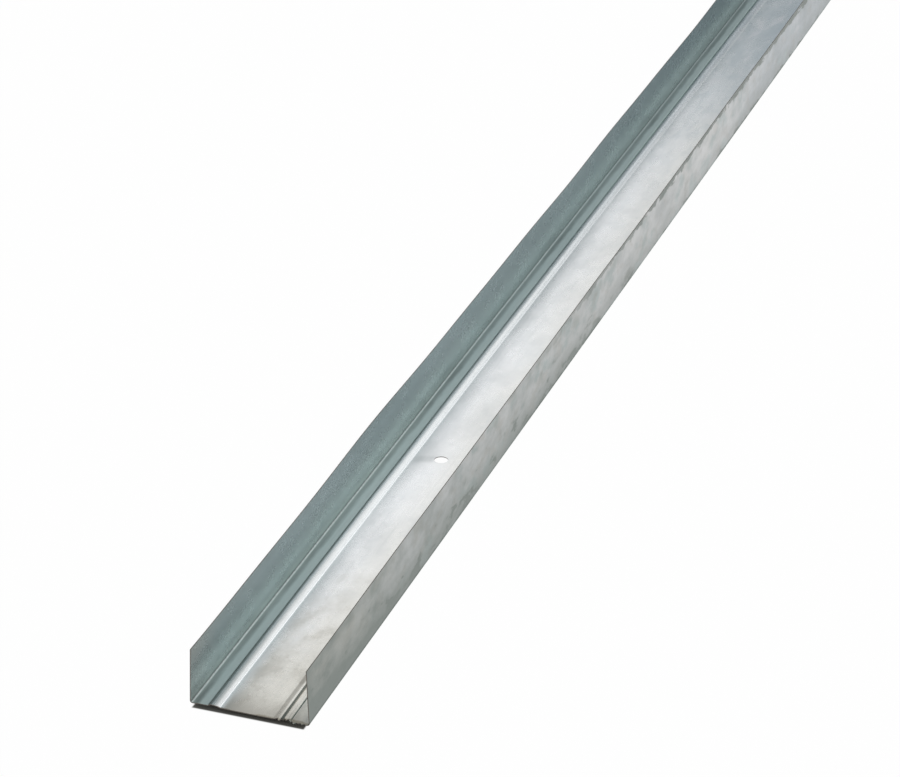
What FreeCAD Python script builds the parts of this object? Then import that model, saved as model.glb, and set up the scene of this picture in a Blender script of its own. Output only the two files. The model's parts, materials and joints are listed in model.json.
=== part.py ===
"""Drywall track: one length of roll-formed galvanised channel, lying on its web.

Millimetres. X runs across the web, Y along the track, Z up. The origin is on the floor,
under the middle of the track.
"""
import FreeCAD, Part
import math
import os

import Sketcher

os.makedirs("parts", exist_ok=True)

doc = FreeCAD.newDocument("drywall_track")

# Driving dimensions: alias, value, what it is
DIMENSIONS = [
    ("track_length", 3048.0, "length of the track as sold"),
    ("stud_depth", 63.5, "depth of the stud that stands in the track"),
    ("stud_clearance", 0.5, "room between the stud and the feet of the legs, both sides"),
    ("leg_height", 31.75, "height of a leg above the floor"),
    ("sheet_thickness", 0.48, "thickness of the steel sheet"),
    ("bend_radius", 1.0, "inside radius between web and leg"),
    ("toe_angle", 2.0, "degrees that each leg leans inward to grip a stud"),
    ("rib_inset", 12.7, "inner face of a leg's foot to the middle of a rib"),
    ("rib_width", 7.0, "width of a rib between its feet"),
    ("rib_step", 1.9, "run of a rib's steep side, from its crest to the foot towards the leg"),
    ("rib_height", 0.85, "height that a rib is pressed up out of the web"),
    ("rib_foot_radius", 0.5, "inside radius where a rib leaves the web"),
    ("hole_diameter", 8.0, "fixing hole"),
    ("hole_end_distance", 285.0, "end of the track to the nearest fixing hole"),
    ("hole_count", 4, "fixing holes along the track"),
]

sheet = doc.addObject("Spreadsheet::Sheet", "Sizes")
for row, (alias, value, note) in enumerate(DIMENSIONS, start=1):
    sheet.set("A%d" % row, alias)
    sheet.set("B%d" % row, str(value))
    sheet.set("C%d" % row, note)
    sheet.setAlias("B%d" % row, alias)
doc.recompute()


def size(alias):
    """The value that the sheet holds for one size."""
    return float(sheet.get(alias))


def origin_feature(body, role):
    """One of the body's own planes or axes."""
    for feature in body.Origin.OriginFeatures:
        if feature.Role == role:
            return feature
    raise ValueError(role)


def new_sketch(body, name, plane):
    """An empty sketch on one of the body's own planes."""
    sketch = body.newObject("Sketcher::SketchObject", name)
    sketch.AttachmentSupport = [(origin_feature(body, plane), "")]
    sketch.MapMode = "FlatFace"
    return sketch


def add_line(sketch, start, end):
    """A straight run of the section between two points (x, z)."""
    line = Part.LineSegment(FreeCAD.Vector(*start, 0), FreeCAD.Vector(*end, 0))
    return sketch.addGeometry(line, False)


def add_arc(sketch, centre, radius, start, end):
    """A bend of the section, from one angle to the next, counter-clockwise, in radians."""
    circle = Part.Circle(FreeCAD.Vector(*centre, 0), FreeCAD.Vector(0, 0, 1), radius)
    return sketch.addGeometry(Part.ArcOfCircle(circle, start, end), False)


def constrain(sketch, *terms):
    """A relation between edges that holds at any size."""
    sketch.addConstraint(Sketcher.Constraint(*terms))


def drive(sketch, name, expression, *terms):
    """A dimension that follows the sheet."""
    index = sketch.addConstraint(Sketcher.Constraint(*terms))
    sketch.renameConstraint(index, name)
    sketch.setExpression("Constraints." + name, expression)


# Ends of an edge in a sketch, its centre, and the sketch's own origin and axes
START, END, CENTRE = range(1, 4)
ORIGIN = (-1, 1)
X_AXIS = -1
Y_AXIS = X_AXIS - 1

track = doc.addObject("PartDesign::Body", "Track")
track.Label = "drywall_track"

# Half of the section, from the middle of the web out to the tip of one leg. The rib is
# four arcs that run into each other: a foot, a gentle side up to the crest, a steep side
# down from it and the other foot.
thickness = size("sheet_thickness")
inside = (size("stud_depth") + size("stud_clearance")) / 2
foot_z = thickness + size("rib_foot_radius")
rib_start = inside - size("rib_inset") - size("rib_width") / 2
rib_end = rib_start + size("rib_width")
rib_crest = rib_end - size("rib_step")


def rib_side(run):
    """Slope, height of the centre and radius under the sheet of one side of the rib."""
    rise = size("rib_height")
    slope = 2 * math.atan(rise / run)
    arc_sum = (run ** 2 + rise ** 2) / (2 * rise)
    return slope, foot_z - arc_sum * math.cos(slope), arc_sum - foot_z


gentle_slope, gentle_z, gentle_radius = rib_side(rib_crest - rib_start)
steep_slope, steep_z, steep_radius = rib_side(rib_end - rib_crest)
bend_x = inside - size("bend_radius")
bend_z = size("bend_radius") + thickness
toe = math.radians(size("toe_angle"))
quarter = math.pi / 2

section = new_sketch(track, "Section", "XZ_Plane")


def sheet_face(level, outward):
    """One face of the sheet: the underside, or the upper face one thickness inside it."""
    foot_radius = foot_z - level
    bend = bend_z - level
    leg_foot = (bend_x + bend * math.cos(toe), bend_z + bend * math.sin(toe))
    tip = (size("leg_height") - outward * math.sin(toe) - leg_foot[1]) / math.cos(toe)
    leg_tip = (leg_foot[0] - tip * math.sin(toe), leg_foot[1] + tip * math.cos(toe))
    return [
        add_line(section, (0, level), (rib_start, level)),
        add_arc(section, (rib_start, foot_z), foot_radius, -quarter, gentle_slope - quarter),
        add_arc(section, (rib_crest, gentle_z), gentle_radius + level, quarter, quarter + gentle_slope),
        add_arc(section, (rib_crest, steep_z), steep_radius + level, quarter - steep_slope, quarter),
        add_arc(section, (rib_end, foot_z), foot_radius, -quarter - steep_slope, -quarter),
        add_line(section, (rib_end, level), (bend_x, level)),
        add_arc(section, (bend_x, bend_z), bend, -quarter, toe),
        add_line(section, leg_foot, leg_tip),
    ], leg_tip


def join_smoothly(edges):
    """Each run flows into the next. The rib's two sides are drawn the other way round."""
    web, foot, gentle, steep, far_foot, margin, bend, leg = edges
    constrain(section, "Tangent", web, END, foot, START)
    constrain(section, "Tangent", foot, END, gentle, END)
    constrain(section, "Tangent", gentle, START, steep, END)
    constrain(section, "Tangent", steep, START, far_foot, START)
    constrain(section, "Tangent", far_foot, END, margin, START)
    constrain(section, "Tangent", margin, END, bend, START)
    constrain(section, "Tangent", bend, END, leg, START)


under, under_tip = sheet_face(0, 0)
upper, upper_tip = sheet_face(thickness, thickness)
middle_line = add_line(section, (0, 0), (0, thickness))
tip_line = add_line(section, under_tip, upper_tip)
join_smoothly(under)
join_smoothly(upper)

web, foot, gentle, steep, far_foot, margin, bend, leg = under
constrain(section, "Coincident", web, START, *ORIGIN)
constrain(section, "Horizontal", web)
constrain(section, "Horizontal", margin)
constrain(section, "PointOnObject", margin, START, X_AXIS)
constrain(section, "Equal", foot, far_foot)
drive(section, "rib_foot", "Sizes.rib_foot_radius + Sizes.sheet_thickness", "Radius", foot, foot_z)
constrain(section, "Vertical", gentle, CENTRE, steep, CENTRE)
drive(section, "gentle_side",
      "((Sizes.rib_width - Sizes.rib_step) ^ 2 + Sizes.rib_height ^ 2) / (2 * Sizes.rib_height)"
      " - Sizes.rib_foot_radius - Sizes.sheet_thickness",
      "Radius", gentle, gentle_radius)
drive(section, "steep_side",
      "(Sizes.rib_step ^ 2 + Sizes.rib_height ^ 2) / (2 * Sizes.rib_height)"
      " - Sizes.rib_foot_radius - Sizes.sheet_thickness",
      "Radius", steep, steep_radius)
drive(section, "rib_place",
      "(Sizes.stud_depth + Sizes.stud_clearance) / 2 - Sizes.rib_inset - Sizes.rib_width / 2",
      "DistanceX", *ORIGIN, foot, CENTRE, rib_start)
drive(section, "rib_gentle_run", "Sizes.rib_width - Sizes.rib_step",
      "DistanceX", foot, CENTRE, gentle, CENTRE, rib_crest - rib_start)
drive(section, "corner_radius", "Sizes.bend_radius + Sizes.sheet_thickness",
      "Radius", bend, bend_z)
drive(section, "corner_place", "(Sizes.stud_depth + Sizes.stud_clearance) / 2 - Sizes.bend_radius",
      "DistanceX", *ORIGIN, bend, CENTRE, bend_x)
drive(section, "leg_lean", "90 + Sizes.toe_angle", "Angle", leg, quarter + toe)
drive(section, "leg_top", "Sizes.leg_height", "DistanceY", *ORIGIN, leg, END, size("leg_height"))

# The upper face follows the underside, one thickness in
for arc in [1, 2, 3, 4, 6]:
    constrain(section, "Coincident", under[arc], CENTRE, upper[arc], CENTRE)
constrain(section, "Coincident", middle_line, START, web, START)
constrain(section, "Coincident", middle_line, END, upper[0], START)
constrain(section, "Vertical", middle_line)
drive(section, "thickness", "Sizes.sheet_thickness",
      "DistanceY", middle_line, START, middle_line, END, thickness)
constrain(section, "Horizontal", upper[0])
constrain(section, "Horizontal", upper[5])
constrain(section, "Parallel", leg, upper[7])
constrain(section, "Coincident", tip_line, START, leg, END)
constrain(section, "Coincident", tip_line, END, upper[7], END)
constrain(section, "Perpendicular", tip_line, leg)
doc.recompute()

# Rolled along the whole length, then the other half
half = track.newObject("PartDesign::Pad", "HalfTrack")
half.Profile = section
half.SideType = "Symmetric"
half.setExpression("Length", "Sizes.track_length")
doc.recompute()
half_volume = half.Shape.Volume

whole = track.newObject("PartDesign::Mirrored", "WholeTrack")
whole.Originals = [half]
whole.MirrorPlane = (origin_feature(track, "YZ_Plane"), [""])
track.Tip = whole
doc.recompute()

# Fixing holes along the middle of the web, the first and last as far from their ends
fixing = new_sketch(track, "FirstHole", "XY_Plane")
first_hole = size("track_length") / 2 - size("hole_end_distance")
circle = Part.Circle(FreeCAD.Vector(0, -first_hole, 0), FreeCAD.Vector(0, 0, 1),
                     size("hole_diameter") / 2)
rim = fixing.addGeometry(circle, False)
constrain(fixing, "PointOnObject", rim, CENTRE, Y_AXIS)
drive(fixing, "diameter", "Sizes.hole_diameter", "Diameter", rim, size("hole_diameter"))
drive(fixing, "place", "Sizes.track_length / 2 - Sizes.hole_end_distance",
      "DistanceY", rim, CENTRE, *ORIGIN, first_hole)
doc.recompute()

punched = track.newObject("PartDesign::Pocket", "PunchedHole")
punched.Profile = fixing
punched.Type = "ThroughAll"
punched.SideType = "Symmetric"
doc.recompute()

holes = track.newObject("PartDesign::LinearPattern", "HoleRow")
holes.Originals = [punched]
holes.Direction = (origin_feature(track, "Y_Axis"), [""])
holes.setExpression("Length", "Sizes.track_length - 2 * Sizes.hole_end_distance")
holes.setExpression("Occurrences", "Sizes.hole_count")
track.Tip = holes
doc.recompute()

# Nothing is written unless every feature came out whole
for feature in doc.Objects:
    if {"Invalid", "Error"} & set(feature.State):
        raise RuntimeError("%s failed: %s" % (feature.Name, feature.State))
if track.Shape.isNull() or not track.Shape.isValid() or len(track.Shape.Solids) != 1:
    raise RuntimeError("the track isn't one sound solid")
punched_out = math.pi * size("hole_diameter") ** 2 / 4 * thickness * size("hole_count")
if abs(2 * half_volume - punched_out - track.Shape.Volume) > punched_out / 100:
    raise RuntimeError("the fixing holes don't pass through the web")

track.Shape.exportStep("parts/%s.step" % track.Label)
box = track.Shape.BoundBox
print("%s: %.1f x %.1f x %.2f mm, %.0f cubic mm, free in section %d"
      % (track.Label, box.XLength, box.YLength, box.ZLength, track.Shape.Volume,
         section.solve()))
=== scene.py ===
import json
import math

import bmesh
import bpy
from mathutils import Matrix, Vector


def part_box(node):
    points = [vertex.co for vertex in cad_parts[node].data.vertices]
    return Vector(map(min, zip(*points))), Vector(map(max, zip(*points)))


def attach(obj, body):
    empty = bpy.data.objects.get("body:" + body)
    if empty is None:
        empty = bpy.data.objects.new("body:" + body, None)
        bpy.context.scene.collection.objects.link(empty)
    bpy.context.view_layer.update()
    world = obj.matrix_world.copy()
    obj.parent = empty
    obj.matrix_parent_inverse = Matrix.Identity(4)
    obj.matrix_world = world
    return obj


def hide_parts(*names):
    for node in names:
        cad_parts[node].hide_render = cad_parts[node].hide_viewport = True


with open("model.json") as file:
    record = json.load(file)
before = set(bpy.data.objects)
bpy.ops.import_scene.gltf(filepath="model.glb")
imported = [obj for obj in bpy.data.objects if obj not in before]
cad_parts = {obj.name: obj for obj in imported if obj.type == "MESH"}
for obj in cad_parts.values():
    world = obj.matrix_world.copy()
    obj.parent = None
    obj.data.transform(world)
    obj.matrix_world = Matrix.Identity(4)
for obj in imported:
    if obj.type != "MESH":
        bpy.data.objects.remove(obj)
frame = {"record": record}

scene = bpy.context.scene
scene.view_settings.view_transform = "Standard"
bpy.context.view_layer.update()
low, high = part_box("drywall_track")
nearEnd = low.y      # the sheared end that the camera looks at
print("frame loaded, track is", round(high.y - low.y, 3), "m long")


# shader sums on sockets: an expression adds its Math nodes
class Field:
    def __init__(self, tree, socket=None):
        self.tree = tree
        self.socket = socket

    def node(self, kind, settings, values, output=0):
        made = self.tree.nodes.new(kind)
        for name, value in settings.items():
            setattr(made, name, value)
        for name, value in values.items():
            if isinstance(value, Field):
                self.tree.links.new(value.socket, made.inputs[name])
            else:
                made.inputs[name].default_value = value
        return Field(self.tree, made.outputs[output] if made.outputs else None)

    def sum(self, operation, first, second=0.0):
        return self.node("ShaderNodeMath", {"operation": operation}, {0: first, 1: second})

    def __add__(self, other):
        return self.sum("ADD", self, other)

    def __radd__(self, other):
        return self.sum("ADD", other, self)

    def __sub__(self, other):
        return self.sum("SUBTRACT", self, other)

    def __rsub__(self, other):
        return self.sum("SUBTRACT", other, self)

    def __mul__(self, other):
        return self.sum("MULTIPLY", self, other)

    def __rmul__(self, other):
        return self.sum("MULTIPLY", other, self)

    def __abs__(self):
        return self.sum("ABSOLUTE", self)

    def most(self, other):
        return self.sum("MAXIMUM", self, other)

    # 0 at start, 1 at full, smooth between; start may be the larger
    def step(self, start, full):
        values = {"Value": self, "From Min": start, "From Max": full}
        return self.node("ShaderNodeMapRange", {"interpolation_type": "SMOOTHSTEP"}, values)

    # the base colour where the field is 0, the other colour where it is 1
    def tint(self, base, colour):
        settings = {"data_type": "RGBA", "blend_type": "MIX"}
        return self.node("ShaderNodeMix", settings, {0: self, 6: base, 7: colour}, 2)

    def axes(self):
        return [self.node("ShaderNodeSeparateXYZ", {}, {"Vector": self}, axis) for axis in "XYZ"]


def newMaterial(name):
    material = bpy.data.materials.new(name)
    material.use_nodes = True
    material.node_tree.nodes.clear()
    return material, Field(material.node_tree)


# galvanised sheet: dull zinc with clouds and streaks along the rolling direction
zinc = {
    "web": (0.785, 0.79, 0.81, 1.0),
    "cream": (0.715, 0.705, 0.685, 1.0),     # right side of the web
    "dull": (0.56, 0.575, 0.59, 1.0),        # clouds in the coat
    "shadeAndMottle": (0.407, 0.46, 0.501, 1.0),       # painted shade towards the middle of the track and on its left rib, also random mottling
    "mauve": (0.69, 0.68, 0.72, 1.0),        # between the darker mottled patches
    "umber": (0.46, 0.43, 0.39, 1.0),        # blotches on the outside of the legs
    "burnished": (0.72, 0.735, 0.75, 1.0),   # the ribs, where the rollers press hardest
    "lipHighlight": (0.84, 0.85, 0.865, 1.0),         # painted highlight on a rib's edge towards the middle
    "strip": (0.635, 0.705, 0.705, 1.0),     # between a rib and a leg: a painted reflection of the leg, darker and teal
    "bend": (0.445, 0.50, 0.50, 1.0),        # painted shade in the bend from the strip up into a leg
    "glint": (0.80, 0.84, 0.82, 1.0),        # painted glints in the bend
    "cool": (0.475, 0.56, 0.56, 1.0),        # inside of the legs, painted shade; also the verdigris patches outside
    "leg": (0.40, 0.495, 0.50, 1.0),         # the same, towards their tips, darker painted shade
    "sill": (0.85, 0.955, 0.915, 1.0),       # the same, towards their feet, painted light; also on the left rib's steep side towards the middle
    "handled": (0.565, 0.56, 0.53, 1.0),     # finger marks at the ends of the legs
    "warm": (0.575, 0.555, 0.51, 1.0),       # grubby web near the ends
    "worn": (0.70, 0.63, 0.545, 1.0),        # rubbed top of the bruised rib
    "stainAndShade": (0.178, 0.205, 0.187, 1.0),     # on the outside of the legs: grimy marks and painted shade
    # streaks, specks and scrapes, and painted shade in the gutters, creases, ribs and legs
    "dirtAndShade": (0.26, 0.29, 0.29, 1.0),
    # sooty marks, and painted shade beside the right rib's fold
    "sootAndShade": (0.30, 0.285, 0.255, 1.0),
    "edgeShade": (0.20, 0.18, 0.135, 1.0),       # painted shade along the sheared ends of the web
    "cut": (0.15, 0.135, 0.12, 1.0),         # the sheared edge itself
    "roughness": 0.28,
    "spangles": 250.0,       # zinc crystals in a metre
    "reliefStrength": 0.12,
    "reliefDepth": 0.0004,
}

# noise in the coat: size across in metres, stretch along the track, detail, offset
noises = {
    "cloud": (0.035, 2.5, 4.0, 0.0),
    "patch": (0.016, 1.7, 4.0, 13.0),
    "blotch": (0.011, 1.6, 3.0, 5.0),
    "mottle": (0.009, 3.5, 4.0, 23.0),
    "ragged": (0.006, 3.0, 5.0, 2.0),
    "smear": (0.012, 9.0, 3.0, 7.0),
    "streak": (0.0016, 90.0, 2.0, 3.0),
    "speckle": (0.0011, 1.3, 2.0, 11.0),
    "grain": (0.0022, 1.0, 1.0, 19.0),
    "swale": (0.028, 3.0, 0.0, 17.0),        # slow dips in the sheet
}

# where a mark is, in metres: it starts at the first number of a pair and is full at the second
# along and across are from the middle to either side, side is minus on the left
# three numbers are a line: its place, how far from it the mark ends and how far it is full
marks = {
    "nearby": {"along": (0.6, 1.5)},
    "towardsMiddle": {"along": (0.95, 0.45)},
    "middle": {"along": (0.80, 0.50)},
    "end": {"along": (1.36, 1.52)},
    "cream": {"side": (-0.013, 0.019)},
    # the ribs
    "crown": {"across": (0.0178, 0.0026, 0.0018), "height": (0.0055, 0.0045), "along": (0.5, 1.0)},
    "sooty": {"along": (1.2, 1.52)},
    "lipHighlight": {"across": (0.0156, 0.0010, 0.0004), "height": (0.0055, 0.0045)},
    "crease": {"across": (0.02262, 0.0006, 0.0001), "height": (0.0014, 0.0009)},
    "ridge": {"side": (-0.0198, 0.0023, 0.0012), "along": (1.38, 1.52)},
    "top": {"side": (-0.0192, 0.0022, 0.0012), "along": (1.06, 0.80)},
    "flank": {"side": (-0.0224, 0.0012, 0.0005), "along": (1.0, 0.7)},
    "brow": {"side": (-0.0215, 0.0013, 0.0007), "along": (1.0, 1.35)},
    "fold": {"side": (0.0141, 0.0017, 0.0007), "along": (1.40, 1.46)},
    "worn": {"side": (0.0176, 0.0016, 0.0008), "along": (1.40, 1.46)},
    # between the ribs and the legs
    "strip": {"across": (0.0218, 0.0232), "height": (0.003, 0.0015)},
    "gutter": {"across": (0.0264, 0.0294), "height": (0.002, 0.0008)},
    "gutterStop": {"across": (0.0312, 0.0306)},
    "bend": {"across": (0.0309, 0.0313), "height": (0.0016, 0.0011)},
    # the legs' inside, from the tips down
    "brim": {"height": (0.024, 0.030), "along": (1.1, 1.3)},
    "upper": {"height": (0.006, 0.026)},
    "lower": {"height": (0.0220, 0.0080)},
    "sill": {"height": (0.0070, 0.0020)},
    "sillReach": {"along": (1.05, 1.25)},
    "handled": {"along": (1.485, 1.524)},
    # the legs' outside, from the tips down
    "hem": {"height": (0.023, 0.030)},
    "smudge": {"along": (1.25, 0.85)},
    "shin": {"height": (0.027, 0.014)},
    "foot": {"height": (0.015, 0.001)},
    "fleck": {"along": (1.0, 0.6)},
    # dirty marks and scratches on the web, and painted shade along its sheared ends
    "grubby": {"along": (1.36, 1.51), "side": (-0.0168, -0.008)},
    "tanned": {"along": (1.30, 1.42), "side": (-0.004, 0.010)},
    "edgeShade": {"along": (1.5228, 1.5243)},
    "fray": {"along": (1.497, 1.527), "side": (-0.0160, -0.0125)},
    "scrape": {"along": (1.2385, 0.006, 0.001), "side": (-0.017, -0.012)},
    "scrapeStop": {"side": (0.0, -0.006)},
    # bare steel
    "rim": {"across": (0.0215, 0.021)},
    "tip": {"height": (0.0312, 0.0315)},
}

# spots on the legs' outside: height of an even spread, gain per metre above it, limits of the noise
spots = {
    "smudge": (0.0280, 65.0, 0.50, 0.60),
    "fleck": (0.004, -60.0, 0.60, 0.68),
    "spot": (0.010, -7.0, 0.54, 0.63),
}


def zincMaterial():
    material, start = newMaterial("galvanised_steel")
    coords = start.node("ShaderNodeTexCoord", {}, {}, "Object")
    x, y, z = coords.axes()
    z = z - y * y * (track["bow"] / nearEnd ** 2)      # height above the bowed web
    facingX, facingY, facingZ = start.node("ShaderNodeNewGeometry", {}, {}, "True Normal").axes()
    across = abs(x)
    along = abs(y)

    def noise(name):
        size, stretch, detail, offset = noises[name]
        place = start.node("ShaderNodeMapping", {}, {
            "Vector": coords,
            "Scale": (1.0 / size, 1.0 / (size * stretch), 1.0 / size),
            "Location": (offset, offset, offset)})
        return start.node("ShaderNodeTexNoise", {}, {
            "Vector": place, "Scale": 1.0, "Detail": detail, "Roughness": 0.6})

    # a mark shows where all its ranges meet; a wavering one brings its own field
    def mark(name, **wavering):
        fields = {"along": along, "across": across, "side": x, "height": z, **wavering}
        masks = []
        for axis, limits in marks[name].items():
            field = fields[axis]
            if len(limits) == 3:
                field = abs(field - limits[0])
            masks.append(field.step(*limits[-2:]))
        return math.prod(masks[1:], start=masks[0])

    def waver(coat, size):
        return (coat - 0.5) * size

    def spotted(name, coat):
        height, gain, begin, full = spots[name]
        return (coat + (z - height) * gain).step(begin, full)

    cloud, patch, blotch, mottle = [noise(name) for name in ("cloud", "patch", "blotch", "mottle")]
    ragged, smear, streak = [noise(name) for name in ("ragged", "smear", "streak")]
    speckle, grain, swale = [noise(name) for name in ("speckle", "grain", "swale")]
    crystals = {"Vector": coords, "Scale": zinc["spangles"]}
    cells = start.node("ShaderNodeTexVoronoi", {}, crystals, "Color")
    spangle = start.node("ShaderNodeSeparateColor", {}, {"Color": cells}, "Red")

    nearby = mark("nearby")
    towardsMiddle = mark("towardsMiddle")
    middle = mark("middle")
    end = mark("end")
    outward = facingX * x.sum("SIGN", x)      # 1 on the outside of a leg and -1 on its inside
    inside = outward.step(-0.3, -0.8)
    outside = outward.step(0.3, 0.8)
    flat = 1.0 - inside - outside      # the web with its ribs

    # ribs, and the strips between them and the legs
    crown = mark("crown")
    lipHighlight = mark("lipHighlight")
    # painted shade beside the right rib's fold near the ends
    fold = mark("fold", side=x + waver(smear, 0.001))
    strip = mark("strip")
    # painted shade in the gutter beside each leg
    gutter = mark("gutter", across=across + waver(smear, 0.0014) + waver(ragged, 0.003))
    gutter = gutter * mark("gutterStop") * (0.6 + smear.step(0.45, 0.65) * 0.3)
    bend = mark("bend")

    # inside of the legs: painted shade, darker towards the tips and at the brim near the ends, and
    # painted light towards the feet
    upper = inside * mark("upper", height=z + waver(cloud, 0.02) + (0.35 - nearby) * 0.012)
    lower = inside * (mark("lower") * 0.35 + mark("sill") * 0.65)
    lower = lower * (0.3 + mark("sillReach") * 0.7)
    brim = inside * mark("brim")
    handled = inside * mark("handled", along=along + waver(patch, 0.03))

    # dirty marks on the web, most of them near the ends, where the track is handled, and painted
    # shade along the sheared ends
    grubby = mark("grubby", along=along + waver(blotch, 0.12)) * (1.0 - inside)
    tanned = mark("tanned") * (1.0 - outside)
    edgeShade = flat * mark("edgeShade", along=along + waver(ragged, 0.006) + x * 0.045)
    fray = flat * mark("fray", along=along + waver(blotch, 0.008) - x * 0.25)
    scrape = mark("scrape", along=along + x * 0.3) * mark("scrapeStop")

    # outside of the legs: painted shade, darker near the ends, towards the feet and along the tips
    # at the ends; grimy smudges, flecks, spots and scuffs where tracks rub in a stack
    verdigris = outside * patch.step(0.5, 0.62) * (1.0 - cloud.step(0.5, 0.6))
    shin = nearby * mark("shin")
    foot = mark("foot", height=z + waver(patch, 0.035))
    hem = end * mark("hem")
    smudge = spotted("smudge", ragged) * mark("smudge")
    fleck = spotted("fleck", ragged) * (0.3 + mark("fleck") * 0.7)
    spot = spotted("spot", ragged * 0.7 + blotch * 0.3) * nearby
    scuff = (patch * 0.5 + cloud * 0.3 + ragged * 0.3).step(0.4, 0.72)
    # painted shade near the ends, towards the feet, on the lower legs near the ends and at the tips
    # at the ends
    grimeAndShade = nearby * 0.38 + end * 0.24 + foot * 0.34 + shin * 0.14 + hem * 0.12
    grimeAndShade = grimeAndShade + smudge * 0.8 + fleck * 0.4 + spot * 0.45 + scuff * 0.34

    # bare edges: round the holes, along the tips of the legs and at the ends
    rim = mark("rim") * (1.0 - abs(facingZ)).step(0.3, 0.6)
    tip = mark("tip") * facingZ.step(0.5, 0.8)
    cut = abs(facingY).step(0.5, 0.8).most(rim).most(tip)

    # from the coat up to the dirty marks, painted shade and painted light: how much, and of which
    # colour
    layers = [
        (cloud.step(0.45, 0.7) * 0.4 + patch.step(0.5, 0.7) * 0.2, "dull"),
        # painted shade: the web darker towards the middle of the track, more so on its right
        (middle * (0.52 + patch * 0.5 + x * 16.0), "shadeAndMottle"),
        (mottle.step(0.48, 0.62) * (0.08 + towardsMiddle * 0.3), "shadeAndMottle"),
        (mottle.step(0.46, 0.34) * (0.1 + towardsMiddle * 0.3), "mauve"),
        (crown, "burnished"),
        # painted shade on the left rib's top towards the middle
        (mark("top") * 0.4, "shadeAndMottle"),
        # duller outside, as rubbed in a stack, and darker near the ends as painted shade
        (outside * (0.5 + nearby * 0.2), "dull"),
        (verdigris * (0.45 + nearby * 0.3), "cool"),
        (outside * blotch.step(0.5, 0.64) * (0.22 + nearby * 0.25), "umber"),
        # painted highlight along each rib's inner edge, brighter near the ends
        (lipHighlight * (0.4 + nearby * 0.5), "lipHighlight"),
        # painted reflection of the leg on the strip beside it
        (strip, "strip"),
        # painted light on the left rib's steep side towards the middle
        (mark("flank") * 0.8, "sill"),
        # painted shade and light inside the legs: darker towards the tips, lighter towards the feet
        (inside, "cool"),
        (upper, "leg"),
        (lower, "sill"),
        (brim * 0.3, "dirtAndShade"),
        # painted shade in the bends between the web and the legs
        (bend, "bend"),
        # painted glints along the bends, near the ends
        (bend * nearby * (0.3 + grain.step(0.3, 0.7) * 0.4), "glint"),
        (handled * 0.5, "handled"),
        (crown * (1.0 - lipHighlight) * mark("sooty") * 0.22, "sootAndShade"),
        (tanned * 0.3, "warm"),
        (grubby * 0.8, "warm"),
        (mark("worn"), "worn"),
        # blotches on the grubby web are real; the darkening beside the right rib's fold is painted
        # shade
        (grubby * blotch.step(0.48, 0.66) * 0.28 + fold * 0.75, "sootAndShade"),
        (streak.step(0.5, 0.8) * 0.08, "dirtAndShade"),
        (speckle.step(0.5, 0.75) * (0.03 + grubby * 0.16), "dirtAndShade"),
        # scrapes are real; the strips and bends made darker towards the middle are painted shade
        (scrape * 0.3 + (strip + bend * 2.0) * towardsMiddle * 0.1, "dirtAndShade"),
        # painted shade in the gutters beside the legs, the creases at the ribs' feet, and on the
        # left rib near the ends
        (gutter + mark("crease") * nearby * 0.2 + mark("ridge") * 0.5 + mark("brow") * 0.4, "dirtAndShade"),
        (outside * grimeAndShade, "stainAndShade"),
        (fray * 0.8, "sootAndShade"),
        # painted shade along the sheared ends of the web
        (edgeShade * 0.7, "edgeShade"),
        (cut, "cut"),
    ]
    colour = mark("cream", side=x + waver(cloud, 0.03)).tint(zinc["web"], zinc["cream"])
    for amount, name in layers:
        colour = amount.tint(colour, zinc[name])

    rough = zinc["roughness"] + waver(patch, 0.1) + waver(spangle, 0.02)
    rough = rough + outside * 0.1 + strip * 0.15 + cut * 0.2 - crown * 0.04
    height = streak * 0.05 + swale * 1.2 + blotch * grubby * 0.3
    relief = start.node("ShaderNodeBump", {}, {
        "Strength": zinc["reliefStrength"], "Distance": zinc["reliefDepth"], "Height": height})
    shader = start.node("ShaderNodeBsdfPrincipled", {}, {
        "Base Color": colour, "Metallic": 1.0, "Roughness": rough, "Normal": relief})
    start.node("ShaderNodeOutputMaterial", {}, {"Surface": shader})
    return material


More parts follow.
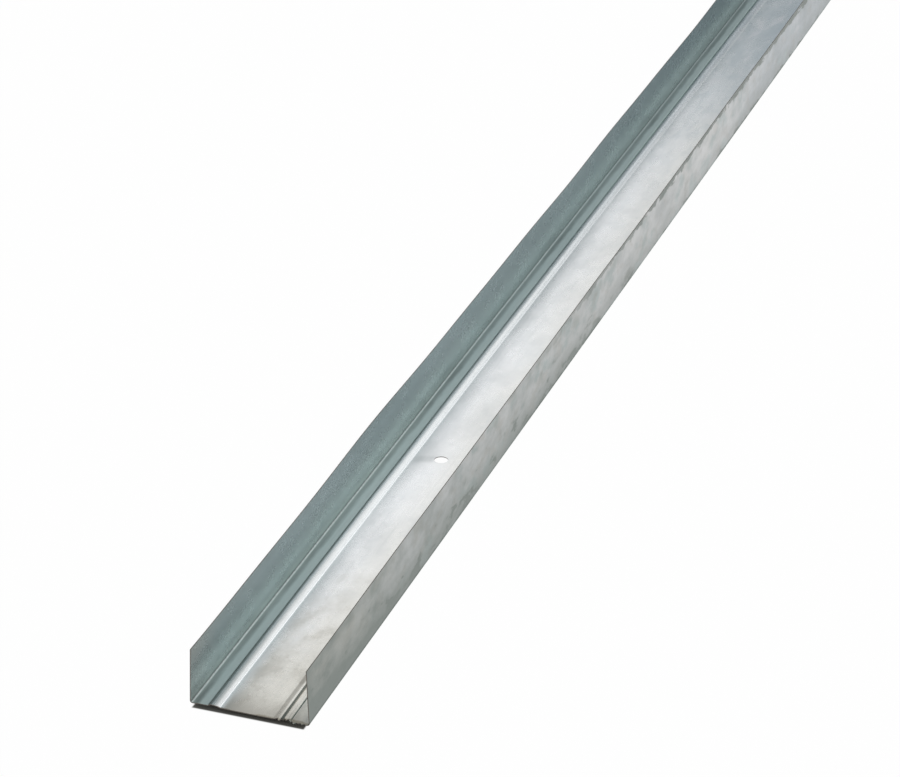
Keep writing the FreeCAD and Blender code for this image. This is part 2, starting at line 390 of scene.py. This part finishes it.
# the rolled section, metres, and the waves that handling leaves in so thin a sheet
track = {
    "sheet": 0.00048,
    "bendRadius": 0.001,
    "toeAngle": math.radians(2.0),
    "ribInset": 0.0127,      # inner face of a leg's foot to the middle of a rib
    "ribWidth": 0.007,
    "ribStep": 0.0019,       # run of the rib's steep side, towards the leg
    "ribHeight": 0.00085,
    "ribFoot": 0.0005,       # radius at the foot of a rib's sides
    "ribLead": 0.0035,       # finely cut stretch of the web before a rib
    "ribTail": 0.0030,       # and after it
    # cuts along each stretch of the section, and along the track
    "webCuts": 5,
    "ribFootCuts": 3,
    "gentleCuts": 12,
    "steepCuts": 6,
    "tailCuts": 4,
    "stripCuts": 6,
    "bendCuts": 8,
    "legCuts": 9,
    "lengthCuts": 330,
    "holeCuts": 48,
    "holeFrame": 2.0,        # half of the square that a hole is cut in, in radii
    # the left leg bows out beside the first hole
    "legDent": 0.0013,
    "dentPlace": 0.285,
    "dentReach": 0.075,
    # ripples along the track: waves (pace, shift, share) of this height at a leg's tip
    "legRipple": 0.00028,
    "leftWaves": [(23.0, 0.0, 1.0), (41.0, 1.0, 0.6)],
    "rightWaves": [(19.0, 2.0, 0.4), (37.0, 0.0, 0.24)],
    "legFoot": 0.003,        # below this height a leg keeps its place
    "legGive": 1.4,
    # the web rises to the ribs and falls again to the foot of each leg
    "webDish": 0.0002,
    "dishWaves": [(31.0, 1.0, 0.2)],
    "dishRise": 0.0155,
    "dishFall": 0.0270,
    "dishFallRun": 0.0040,
    # the right rib is bruised at the near end: place across, and how far it is pushed up
    "bruise": [(0.0126, 0.0), (0.0150, 0.00022), (0.0164, -0.00024), (0.0184, 0.0),
               (0.0205, 0.0), (0.0228, 0.00036), (0.0243, 0.0)],
    "bruiseReach": 0.10,
    # ragged shearing under the bruise
    "burr": 0.0006,
    "burrFrom": 0.014,
    "burrTo": 0.030,
    "burrWaves": [(7300.0, 0.0, 1.0), (3100.0, 2.0, 1.0)],
    "bow": 0.0023,           # both ends lift this far off the floor
}


def holePlaces():
    mounts = {mount["name"]: mount for mount in frame["record"]["mounts"]}
    places = []
    for name in ("outer_fixing_holes", "inner_fixing_holes"):
        reach = mounts[name]["dims"]["spacing_y_mm"] / 2000.0
        places += [-reach, reach]
    return sorted(places), mounts["outer_fixing_holes"]["dims"]["hole_r_mm"] / 1000.0


# right half of the sheet's upper face, from the middle of the web to the tip of the leg
def rollSection(bm):
    sheet = track["sheet"]
    inside = high.x - sheet
    tall = track["ribHeight"]
    innerFoot = inside - track["ribInset"] - track["ribWidth"] / 2
    outerFoot = innerFoot + track["ribWidth"]
    crest = outerFoot - track["ribStep"]
    footZ = sheet + track["ribFoot"]
    bendX = inside - track["bendRadius"]
    bendZ = sheet + track["bendRadius"]
    toe = track["toeAngle"]
    last = bm.verts.new((0, nearEnd, sheet))

    def run(x, z, cuts):
        nonlocal last
        stride = (Vector((x, nearEnd, z)) - last.co) / track[cuts]
        for _ in range(track[cuts]):
            made = bmesh.ops.extrude_vert_indiv(bm, verts=[last])
            last = made["verts"][0]
            last.co += stride

    def turn(x, z, angle, cuts):      # positive turns up from the web
        nonlocal last
        made = bmesh.ops.spin(bm, geom=[last], cent=(x, nearEnd, z), axis=(0, -1, 0),
                              angle=angle, steps=track[cuts])
        last = [part for part in made["geom_last"] if isinstance(part, bmesh.types.BMVert)][0]

    # one side of the rib: its slope, and the height that the crest turns about
    def ribSide(width):
        slope = 2 * math.atan(tall / width)
        return slope, footZ - (width ** 2 + tall ** 2) / (2 * tall) * math.cos(slope)

    run(innerFoot - track["ribLead"], sheet, "webCuts")
    run(innerFoot, sheet, "webCuts")
    slope, crestZ = ribSide(crest - innerFoot)
    turn(innerFoot, footZ, slope, "ribFootCuts")
    turn(crest, crestZ, -slope, "gentleCuts")
    slope, crestZ = ribSide(outerFoot - crest)
    turn(crest, crestZ, -slope, "steepCuts")
    turn(outerFoot, footZ, slope, "ribFootCuts")
    run(outerFoot + track["ribTail"], sheet, "tailCuts")
    run(bendX, sheet, "stripCuts")
    turn(bendX, bendZ, math.pi / 2 + toe, "bendCuts")
    leg = (high.z - sheet * math.sin(toe) - last.co.z) / math.cos(toe)
    run(last.co.x - leg * math.sin(toe), last.co.z + leg * math.cos(toe), "legCuts")


def punch(bm, y, radius):
    reach = track["holeFrame"] * radius
    patch = [face for face in bm.faces
             if abs(face.calc_center_median().x) < reach
             and abs(face.calc_center_median().y - y) < reach]
    bmesh.ops.delete(bm, geom=patch, context="FACES")
    around = reach + radius
    frameEdges = [edge for edge in bm.edges if edge.is_boundary
                  and all(abs(vert.co.x) < around and abs(vert.co.y - y) < around
                          for vert in edge.verts)]
    rim = bmesh.ops.create_circle(bm, segments=track["holeCuts"], radius=radius,
                                  matrix=Matrix.Translation((0, y, track["sheet"])))
    rimEdges = list({edge for vert in rim["verts"] for edge in vert.link_edges})
    bmesh.ops.bridge_loops(bm, edges=frameEdges + rimEdges)


def swell(value, middle, width):
    return math.exp(-((value - middle) / width) ** 2)


def ripple(value, waves):
    return sum(share * math.sin(value * pace + shift) for pace, shift, share in waves)


def limited(value):
    return min(1.0, max(0.0, value))


# what handling did to the sheet
def distort(bm):
    foot = track["legFoot"]
    for vert in bm.verts:
        x, y, z = vert.co
        along = y - nearEnd
        if x < 0:
            wave = track["legRipple"] * ripple(along, track["leftWaves"])
            wave -= track["legDent"] * swell(along, track["dentPlace"], track["dentReach"])
        else:
            wave = track["legRipple"] * ripple(along, track["rightWaves"])
        vert.co.x += wave * limited((z - foot) / (high.z - foot)) ** track["legGive"]

        fall = limited((abs(x) - track["dishFall"]) / track["dishFallRun"])
        rise = min(1.0, (x / track["dishRise"]) ** 2) - fall * fall * (3.0 - 2.0 * fall)
        rise *= 0.8 + ripple(along, track["dishWaves"])
        vert.co.z += track["webDish"] * rise + track["bow"] * (y / nearEnd) ** 2

        if along < 1e-6 and track["burrFrom"] < x < track["burrTo"]:
            vert.co.y -= track["burr"] * ripple(x, track["burrWaves"])
        for (start, startPush), (end, endPush) in zip(track["bruise"], track["bruise"][1:]):
            if start <= x < end:
                push = startPush + (endPush - startPush) * (x - start) / (end - start)
                vert.co.z += push * swell(along, 0.0, track["bruiseReach"])


def buildTrack():
    bm = bmesh.new()
    rollSection(bm)
    bmesh.ops.mirror(bm, geom=bm.verts[:] + bm.edges[:], axis="X", merge_dist=1e-6)
    bmesh.ops.remove_doubles(bm, verts=bm.verts, dist=1e-6)
    rolled = bmesh.ops.extrude_edge_only(bm, edges=bm.edges[:])
    far = [part for part in rolled["geom"] if isinstance(part, bmesh.types.BMVert)]
    bmesh.ops.translate(bm, verts=far, vec=(0, high.y - low.y, 0))
    lengthwise = [edge for edge in bm.edges if abs(edge.verts[0].co.y - edge.verts[1].co.y) > 1]
    bmesh.ops.subdivide_edges(bm, edges=lengthwise, cuts=track["lengthCuts"], use_grid_fill=True)
    places, radius = holePlaces()
    reach = track["holeFrame"] * radius
    for y in places:
        for cutAt in (y - reach, y, y + reach):
            bmesh.ops.bisect_plane(bm, geom=bm.verts[:] + bm.edges[:] + bm.faces[:], dist=1e-5,
                                   plane_co=(0, cutAt, 0), plane_no=(0, 1, 0))
        punch(bm, y, radius)
    distort(bm)
    bmesh.ops.recalc_face_normals(bm, faces=bm.faces)
    middleFace = min(bm.faces, key=lambda face: face.calc_center_median().length)
    if middleFace.normal.z < 0:
        bmesh.ops.reverse_faces(bm, faces=bm.faces)
    for edge in bm.edges:
        edge.smooth = not edge.is_boundary
    for face in bm.faces:
        face.smooth = True
    mesh = bpy.data.meshes.new("drywall_track_sheet")
    bm.to_mesh(mesh)
    bm.free()
    piece = bpy.data.objects.new("drywall_track_sheet", mesh)
    scene.collection.objects.link(piece)
    solid = piece.modifiers.new("sheet", "SOLIDIFY")
    solid.thickness = track["sheet"]
    solid.offset = -1.0
    solid.use_even_offset = True
    mesh.materials.append(zincMaterial())
    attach(piece, "root")
    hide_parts("drywall_track")
    print("track rolled,", len(mesh.polygons), "faces before its thickness")


buildTrack()


# white table: lit by itself for the camera and for reflections, but unlit and dark under the track,
# a painted shadow
table = {
    "size": 60.0,
    "shade": (0.2, 0.19, 0.175, 1.0),
    "white": (1.0, 1.0, 1.0, 1.0),
    "selfLit": 0.992,
    "darkInset": 0.0015,     # the painted shadow ends this far inside the legs
    "darkShift": 0.001,      # and lies this far to the left
    "darkPast": 0.0005,      # and shows this far past the ends
    "darkEdge": 0.0012,      # softness of its edge
    "holeLight": 0.010,      # how far light spreads under a hole
}


def buildTable():
    bm = bmesh.new()
    bmesh.ops.create_grid(bm, x_segments=1, y_segments=1, size=table["size"] / 2)
    mesh = bpy.data.meshes.new("table")
    bm.to_mesh(mesh)
    bm.free()
    floor = bpy.data.objects.new("table", mesh)
    scene.collection.objects.link(floor)
    material, start = newMaterial("table_white")
    x, y, _ = start.node("ShaderNodeTexCoord", {}, {}, "Object").axes()
    along = abs(y)
    soft = table["darkEdge"]
    side = high.x - table["darkInset"]
    end = high.y + table["darkPast"]
    spread = table["holeLight"]
    # the painted shadow under the track, cleared round the holes
    under = abs(x + table["darkShift"]).step(side, side - soft)
    under = under * along.step(end + soft / 2, end - soft / 2)
    for hole in holePlaces()[0]:
        if hole > 0:      # along is the same towards both ends
            lit = abs(x).step(spread, spread - soft) * abs(along - hole).step(spread, spread - soft)
            under = under * (1.0 - lit)
    rays = ("Is Camera Ray", "Is Glossy Ray", "Is Transmission Ray")
    camera, glossy, through = [start.node("ShaderNodeLightPath", {}, {}, ray) for ray in rays]
    seen = camera.most(glossy).most(through) * (1.0 - under) * table["selfLit"]
    matt = start.node("ShaderNodeBsdfDiffuse", {}, {"Color": table["shade"]})
    white = start.node("ShaderNodeEmission", {}, {"Color": table["white"], "Strength": 1.0})
    mixed = start.node("ShaderNodeMixShader", {}, {0: seen, 1: matt, 2: white})
    start.node("ShaderNodeOutputMaterial", {}, {"Surface": mixed})
    mesh.materials.append(material)
    print("table laid")


buildTable()


# two soft lights ahead of the camera, in an even room that is paler behind it
studio = {
    "room": (0.423, 0.45, 0.459, 1.0),
    "behind": (0.74, 0.77, 0.78, 1.0),
    "turning": (0.15, -0.35),      # how far ahead the room's colour starts to turn, and ends
    "aim": (0.0, nearEnd + 0.45, 0.0),
    "distance": 3.4,
    "lamps": [
        # name, azimuth from the track's own direction, elevation, width, height, radiance, colour
        ("ahead", -20.5, 34.8, 1.77, 1.75, 0.83, (1.0, 0.985, 0.965)),
        ("right", 17.0, 40.0, 1.89, 1.55, 0.78, (0.985, 1.0, 0.99)),
    ],
}


def buildStudio():
    world = bpy.data.worlds.new("room")
    scene.world = world
    world.use_nodes = True
    world.node_tree.nodes.clear()
    start = Field(world.node_tree)
    ahead = start.node("ShaderNodeTexCoord", {}, {}, "Generated").axes()[1]
    colour = ahead.step(*studio["turning"]).tint(studio["room"], studio["behind"])
    backdrop = start.node("ShaderNodeBackground", {}, {"Color": colour, "Strength": 1.0})
    start.node("ShaderNodeOutputWorld", {}, {"Surface": backdrop})
    for name, azimuth, elevation, width, height, radiance, glow in studio["lamps"]:
        lamp = bpy.data.lights.new(name, "AREA")
        lamp.shape = "RECTANGLE"
        lamp.size, lamp.size_y = width, height
        lamp.energy = math.pi * width * height * radiance
        lamp.color = glow
        turn, rise = math.radians(azimuth), math.radians(elevation)
        flat = math.cos(rise)
        towards = Vector((math.sin(turn) * flat, math.cos(turn) * flat, math.sin(rise)))
        softbox = bpy.data.objects.new(name, lamp)
        softbox.location = Vector(studio["aim"]) + towards * studio["distance"]
        softbox.rotation_euler = towards.to_track_quat("Z", "Y").to_euler()
        scene.collection.objects.link(softbox)
    print("studio lit")


buildStudio()


# the photograph's viewpoint, measured from the middle of the near end
view = {
    "place": (0.54755, -1.24078, 0.87784),
    "look": (-0.29787, 0.83832, -0.45661),
    "lens": 128.0,
    "sensor": 36.0,
    "farthest": 100.0,
}


def buildCamera():
    lens = bpy.data.cameras.new("camera")
    lens.lens = view["lens"]
    lens.sensor_width = view["sensor"]
    lens.clip_end = view["farthest"]
    camera = bpy.data.objects.new("camera", lens)
    camera.location = Vector(view["place"]) + Vector((0, nearEnd, track["bow"]))
    camera.rotation_euler = Vector(view["look"]).to_track_quat("-Z", "Y").to_euler()
    scene.collection.objects.link(camera)
    scene.camera = camera
    print("camera set")


buildCamera()
